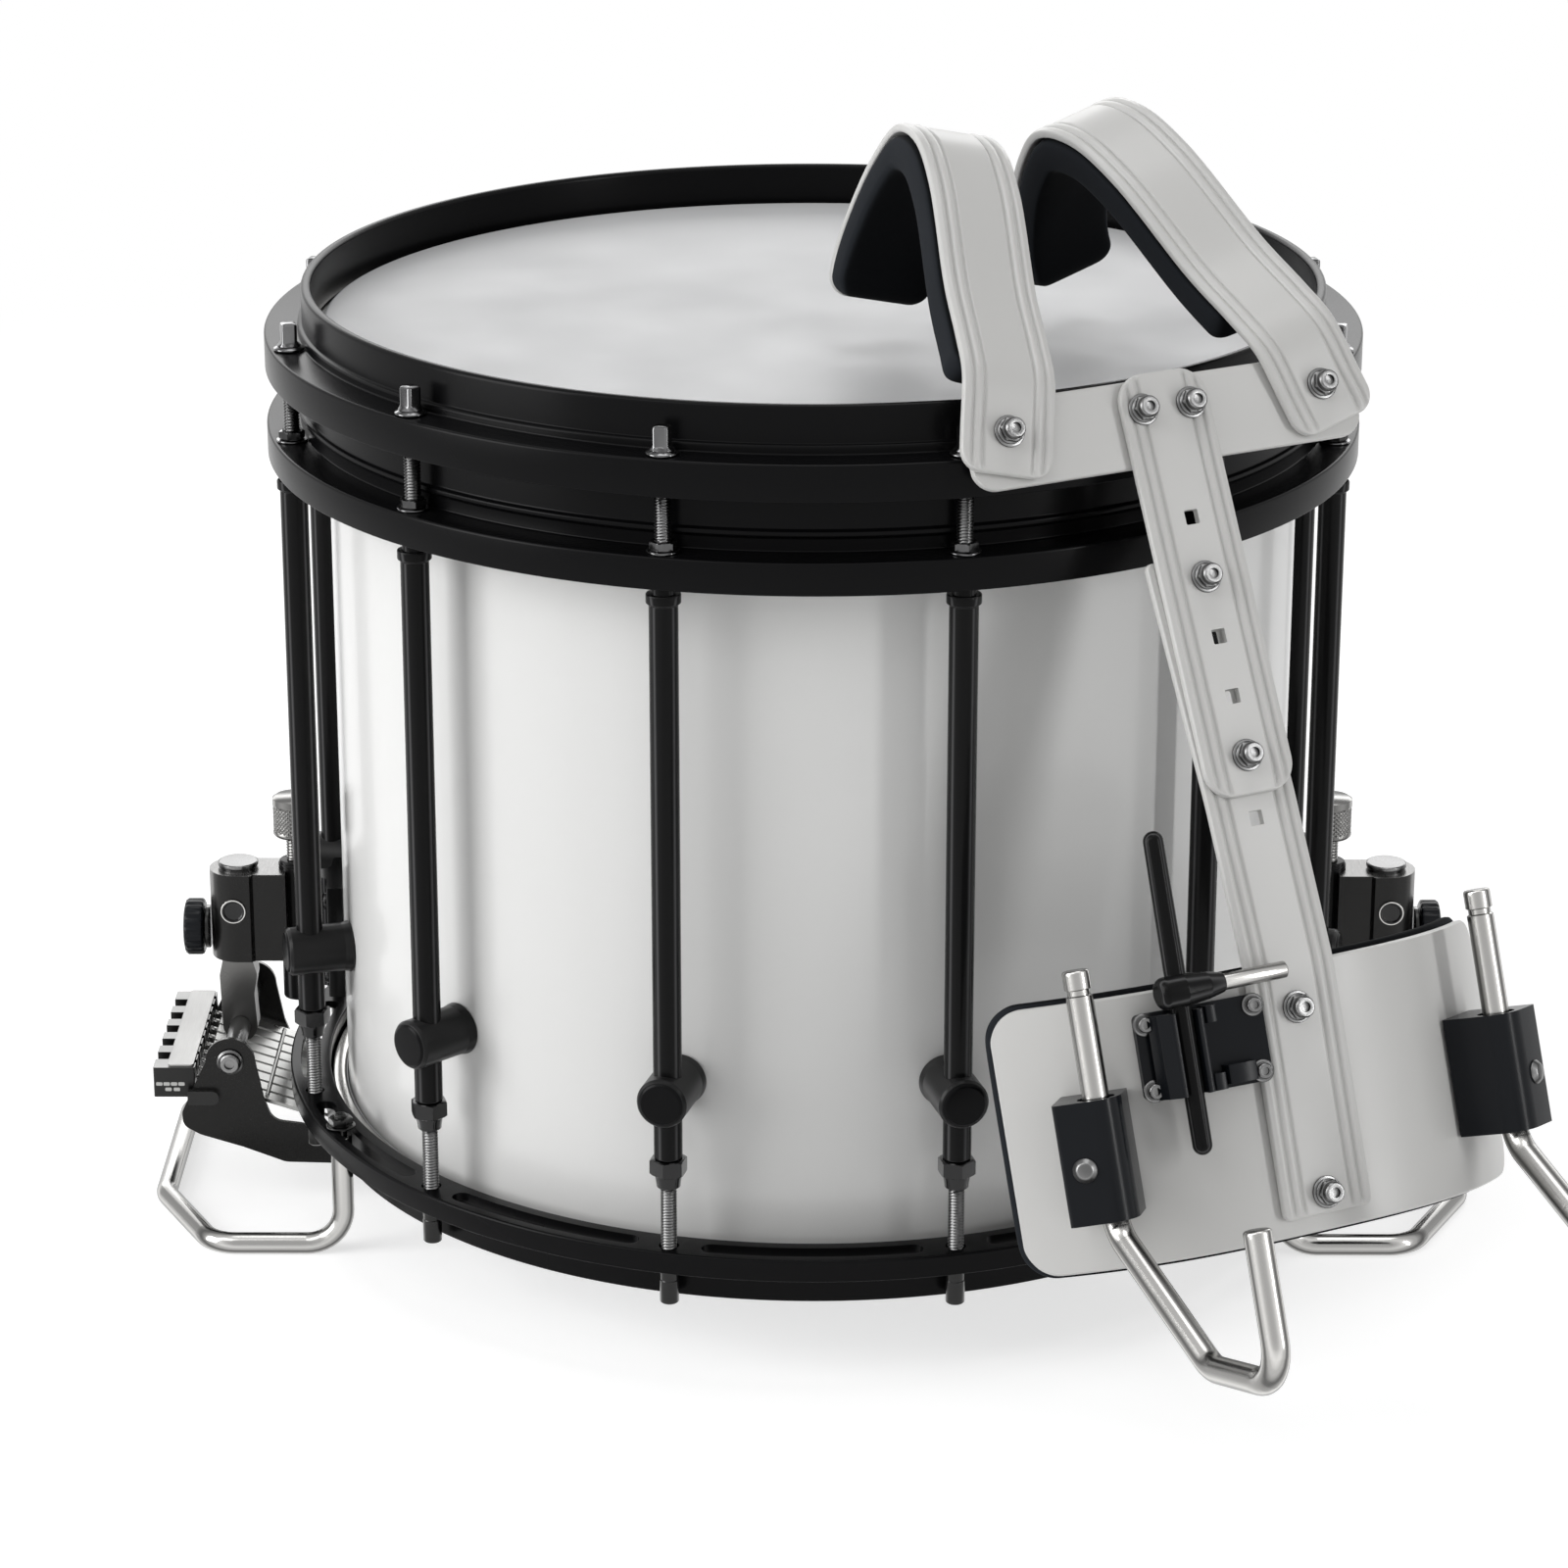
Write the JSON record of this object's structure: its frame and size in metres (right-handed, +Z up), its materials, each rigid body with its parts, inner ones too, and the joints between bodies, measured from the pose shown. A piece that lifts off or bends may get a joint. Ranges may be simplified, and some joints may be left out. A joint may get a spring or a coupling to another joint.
{
  "type": "marching snare drum",
  "caption": "Deep marching snare drum with a floating tension ring, long lug tubes, a strainer at each side, floor guards and a vest-style shoulder carrier hung over its rim.",
  "frame": {"origin": "middle of the batter head's playing face", "axes": "+Z up out of the batter head along the drum's axis, -Y towards the viewer of the picture, X through both strainers"},
  "size_m": [0.5336, 0.5911, 0.4289],
  "materials": {
    "white_lacquer": "gloss lacquer over maple ply",
    "head_film": "woven film, matte",
    "black_paint": "satin black powder coat",
    "dark_chrome": "black nickel plate",
    "steel": "polished steel",
    "gunmetal": "dark plated zinc casting",
    "black_plastic": "satin black plastic",
    "white_paint": "warm white powder coat on aluminium",
    "foam": "dark foam cushion",
    "strand_wire": "bright wire"
  },
  "bodies": {
    "drum": {"shell": "white_lacquer", "batter_head": "head_film", "snare_head": "head_film", "batter_hoop": "black_paint", "floating_ring": "black_paint", "snare_hoop": "black_paint", "lug_01": "black_paint", "lug_02": "black_paint", "lug_03": "black_paint", "lug_04": "black_paint", "lug_05": "black_paint", "lug_06": "black_paint", "lug_07": "black_paint", "lug_08": "black_paint", "lug_09": "black_paint", "lug_10": "black_paint", "lug_11": "black_paint", "lug_12": "black_paint", "guard_left": "steel", "guard_right": "steel", "strainer_base_left": "black_paint", "strainer_base_right": "black_paint"},
    "rod_01": {"tension_rod_01": "dark_chrome"},
    "rod_02": {"tension_rod_02": "dark_chrome"},
    "rod_03": {"tension_rod_03": "dark_chrome"},
    "rod_04": {"tension_rod_04": "dark_chrome"},
    "rod_05": {"tension_rod_05": "dark_chrome"},
    "rod_06": {"tension_rod_06": "dark_chrome"},
    "rod_07": {"tension_rod_07": "dark_chrome"},
    "rod_08": {"tension_rod_08": "dark_chrome"},
    "rod_09": {"tension_rod_09": "dark_chrome"},
    "rod_10": {"tension_rod_10": "dark_chrome"},
    "rod_11": {"tension_rod_11": "dark_chrome"},
    "rod_12": {"tension_rod_12": "dark_chrome"},
    "knob_left": {"height_knob_left": "steel"},
    "block_left": {"strainer_block_left": "gunmetal"},
    "screw_left": {"tension_knob_left": "black_plastic"},
    "arm_left": {"strainer_arm_left": "steel", "strand_cradle_left": "gunmetal"},
    "knob_right": {"height_knob_right": "steel"},
    "block_right": {"strainer_block_right": "gunmetal"},
    "screw_right": {"tension_knob_right": "black_plastic"},
    "arm_right": {"strainer_arm_right": "steel", "strand_cradle_right": "gunmetal"},
    "strands": {"snare_strands": "strand_wire"},
    "carrier": {"carrier_crossbar": "white_paint", "carrier_upper_slat": "white_paint", "carrier_lower_slat": "white_paint", "belly_plate": "white_paint", "belly_pad": "foam", "rod_holder_left": "black_plastic", "rod_holder_right": "black_plastic", "rod_clamp": "black_plastic"},
    "strap_left": {"shoulder_strap_left": "white_paint", "shoulder_pad_left": "foam"},
    "strap_right": {"shoulder_strap_right": "white_paint", "shoulder_pad_right": "foam"},
    "hook_left": {"hook_rod_left": "steel"},
    "hook_right": {"hook_rod_right": "steel"},
    "t_rod": {"t_rod": "black_plastic"}
  },
  "joints": [
    {"name": "rod_01_turn", "type": "hinge", "parent": "drum", "child": "rod_01", "pos_m": [0.05006, -0.18681, -0.03], "axis": [0, 0, 1], "range_deg": [-180, 180]},
    {"name": "rod_02_turn", "type": "hinge", "parent": "drum", "child": "rod_02", "pos_m": [0.13675, -0.13675, -0.03], "axis": [0, 0, 1], "range_deg": [-180, 180]},
    {"name": "rod_03_turn", "type": "hinge", "parent": "drum", "child": "rod_03", "pos_m": [0.18681, -0.05006, -0.03], "axis": [0, 0, 1], "range_deg": [-180, 180]},
    {"name": "rod_04_turn", "type": "hinge", "parent": "drum", "child": "rod_04", "pos_m": [0.18681, 0.05006, -0.03], "axis": [0, 0, 1], "range_deg": [-180, 180]},
    {"name": "rod_05_turn", "type": "hinge", "parent": "drum", "child": "rod_05", "pos_m": [0.13675, 0.13675, -0.03], "axis": [0, 0, 1], "range_deg": [-180, 180]},
    {"name": "rod_06_turn", "type": "hinge", "parent": "drum", "child": "rod_06", "pos_m": [0.05006, 0.18681, -0.03], "axis": [0, 0, 1], "range_deg": [-180, 180]},
    {"name": "rod_07_turn", "type": "hinge", "parent": "drum", "child": "rod_07", "pos_m": [-0.05006, 0.18681, -0.03], "axis": [0, 0, 1], "range_deg": [-180, 180]},
    {"name": "rod_08_turn", "type": "hinge", "parent": "drum", "child": "rod_08", "pos_m": [-0.13675, 0.13675, -0.03], "axis": [0, 0, 1], "range_deg": [-180, 180]},
    {"name": "rod_09_turn", "type": "hinge", "parent": "drum", "child": "rod_09", "pos_m": [-0.18681, 0.05006, -0.03], "axis": [0, 0, 1], "range_deg": [-180, 180]},
    {"name": "rod_10_turn", "type": "hinge", "parent": "drum", "child": "rod_10", "pos_m": [-0.18681, -0.05006, -0.03], "axis": [0, 0, 1], "range_deg": [-180, 180]},
    {"name": "rod_11_turn", "type": "hinge", "parent": "drum", "child": "rod_11", "pos_m": [-0.13675, -0.13675, -0.03], "axis": [0, 0, 1], "range_deg": [-180, 180]},
    {"name": "rod_12_turn", "type": "hinge", "parent": "drum", "child": "rod_12", "pos_m": [-0.05006, -0.18681, -0.03], "axis": [0, 0, 1], "range_deg": [-180, 180]},
    {"name": "knob_left_turn", "type": "hinge", "parent": "drum", "child": "knob_left", "pos_m": [-0.1968, 0, -0.2], "axis": [0, 0, 1], "range_deg": [0, 1440]},
    {"name": "block_left_slide", "type": "slide", "parent": "drum", "child": "block_left", "axis": [0, 0, 1], "range_m": [-0.004, 0]},
    {"name": "screw_left_turn", "type": "hinge", "parent": "block_left", "child": "screw_left", "pos_m": [-0.235, 0, -0.2417], "axis": [-1, 0, 0], "range_deg": [0, 180]},
    {"name": "arm_left_swing", "type": "hinge", "parent": "block_left", "child": "arm_left", "pos_m": [-0.2198, 0, -0.2314], "axis": [0, -1, 0], "range_deg": [0, 2.2]},
    {"name": "knob_right_turn", "type": "hinge", "parent": "drum", "child": "knob_right", "pos_m": [0.1968, 0, -0.2], "axis": [0, 0, 1], "range_deg": [0, 1440]},
    {"name": "block_right_slide", "type": "slide", "parent": "drum", "child": "block_right", "axis": [0, 0, 1], "range_m": [-0.004, 0]},
    {"name": "screw_right_turn", "type": "hinge", "parent": "block_right", "child": "screw_right", "pos_m": [0.235, 0, -0.2417], "axis": [1, 0, 0], "range_deg": [0, 180]},
    {"name": "arm_right_swing", "type": "hinge", "parent": "block_right", "child": "arm_right", "pos_m": [0.2198, 0, -0.2314], "axis": [0, 1, 0], "range_deg": [0, 2.2]},
    {"name": "strands_slide", "type": "slide", "parent": "drum", "child": "strands", "axis": [0, 0, 1], "range_m": [-0.004, 0]},
    {"name": "carrier_lift", "type": "slide", "parent": "drum", "child": "carrier", "axis": [0, 0, 1], "range_m": [0, 0.35]},
    {"name": "strap_left_swivel", "type": "hinge", "parent": "carrier", "child": "strap_left", "pos_m": [0.06262, -0.19062, 0.00619], "axis": [-0.3601, 0.8088, -0.4648], "range_deg": [-6, 6]},
    {"name": "strap_right_swivel", "type": "hinge", "parent": "carrier", "child": "strap_right", "pos_m": [0.1697, -0.14117, 0.00929], "axis": [-0.3601, 0.8088, -0.4648], "range_deg": [-6, 6]},
    {"name": "hook_left_slide", "type": "slide", "parent": "carrier", "child": "hook_left", "axis": [-0.1639, 0.2958, 0.9411], "range_m": [-0.03, 0]},
    {"name": "hook_right_slide", "type": "slide", "parent": "carrier", "child": "hook_right", "axis": [-0.1639, 0.2958, 0.9411], "range_m": [-0.03, 0]},
    {"name": "t_rod_slide", "type": "slide", "parent": "carrier", "child": "t_rod", "axis": [-0.1639, 0.2958, 0.9411], "range_m": [0, 0.012]}
  ],
  "couplings": [
    {"joint": "block_right_slide", "follows": "block_left_slide", "ratio": 1},
    {"joint": "strands_slide", "follows": "block_left_slide", "ratio": 1},
    {"joint": "knob_left_turn", "follows": "block_left_slide", "rad_per_m": -6283},
    {"joint": "knob_right_turn", "follows": "block_left_slide", "rad_per_m": -6283},
    {"joint": "arm_left_swing", "follows": "screw_left_turn", "ratio": 0.012222},
    {"joint": "arm_right_swing", "follows": "screw_right_turn", "ratio": 0.012222}
  ]
}
